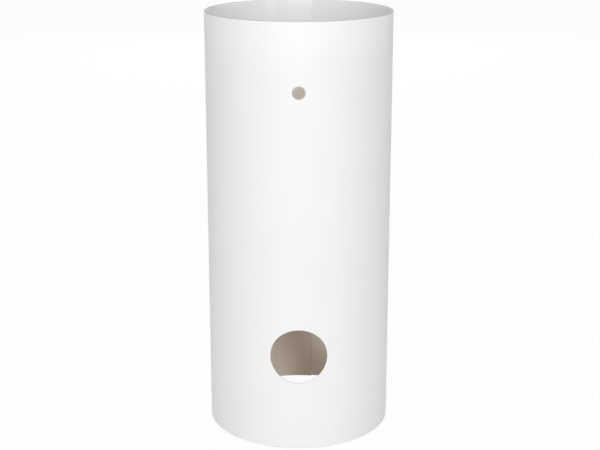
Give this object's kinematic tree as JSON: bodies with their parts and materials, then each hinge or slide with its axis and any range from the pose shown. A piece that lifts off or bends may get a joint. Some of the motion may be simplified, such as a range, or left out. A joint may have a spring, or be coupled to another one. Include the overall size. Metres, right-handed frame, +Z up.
{
  "type": "mesh network node",
  "caption": "Tower-shaped mesh network node: a plain white open-ended sleeve with a low cable outlet and a small button hole lifts off a standing core.",
  "frame": {"origin": "on the floor under the middle of the sleeve", "axes": "+Z up along the sleeve's axis, -Y towards the front with the cable outlet and the button hole"},
  "size_m": [0.1, 0.1, 0.229],
  "materials": {
    "sleeve_white": "satin",
    "frame_light": "matte",
    "black_plastic": "matte",
    "steel": "plated",
    "aluminium": "extruded, satin",
    "brass": "gold plated",
    "rubber": "matte",
    "board_green": "solder mask, satin",
    "antenna_blue": "solder mask, satin",
    "chip_black": "moulded, matte",
    "pad": "soft",
    "rocker_red": "gloss",
    "button_beige": "satin",
    "light_lens": "clear",
    "ribbon_white": "satin"
  },
  "bodies": {
    "core": {"base_ring": "frame_light", "top_ring": "frame_light", "side_rail_left": "frame_light", "side_rail_right": "frame_light", "front_rail": "frame_light", "rubber_feet": "rubber", "post_screws": "steel", "port_plate": "frame_light", "port_plate_screws": "steel", "vent_grille": "frame_light", "grille_screws": "steel", "main_board": "board_green", "processor": "chip_black", "radio_chips": "chip_black", "memory_chips": "chip_black", "thermal_pads": "pad", "heat_sink": "aluminium", "heat_sink_screws": "steel", "shield_left": "steel", "shield_right": "steel", "power_coils": "chip_black", "power_capacitors": "aluminium", "wan_jack": "steel", "lan_jack": "steel", "jack_contacts": "brass", "power_jack": "black_plastic", "power_jack_pin": "brass", "switch_body": "black_plastic", "reset_switch": "black_plastic", "button_board": "board_green", "button_board_screws": "steel", "button_switch": "black_plastic", "status_light": "light_lens", "ribbon_sockets": "ribbon_white", "ribbon_cable": "ribbon_white", "antenna_plugs": "brass", "antenna_leads": "black_plastic", "corner_post_1": "frame_light", "antenna_1": "antenna_blue", "corner_post_2": "frame_light", "antenna_2": "antenna_blue", "corner_post_3": "frame_light", "antenna_3": "antenna_blue", "corner_post_4": "frame_light", "antenna_4": "antenna_blue"},
    "sleeve": {"outer_sleeve": "sleeve_white"},
    "pairing_button": {"pairing_button": "button_beige", "button_plunger": "black_plastic"},
    "reset_button": {"reset_button": "button_beige", "reset_plunger": "black_plastic"},
    "power_rocker": {"power_rocker": "rocker_red"}
  },
  "joints": [
    {"name": "sleeve_lift", "type": "slide", "parent": "core", "child": "sleeve", "axis": [0, 0, 1], "range_m": [0, 0.225]},
    {"name": "pairing_press", "type": "slide", "parent": "core", "child": "pairing_button", "axis": [0, 1, 0], "range_m": [0, 0.0008], "stiffness_N_per_m": 1500},
    {"name": "reset_press", "type": "slide", "parent": "core", "child": "reset_button", "axis": [0, 0, 1], "range_m": [0, 0.0005], "stiffness_N_per_m": 2000},
    {"name": "power_rock", "type": "hinge", "parent": "core", "child": "power_rocker", "pos_m": [-0.029, -0.0067, 0.0769], "axis": [-1, 0, 0], "range_deg": [0, 18]}
  ]
}
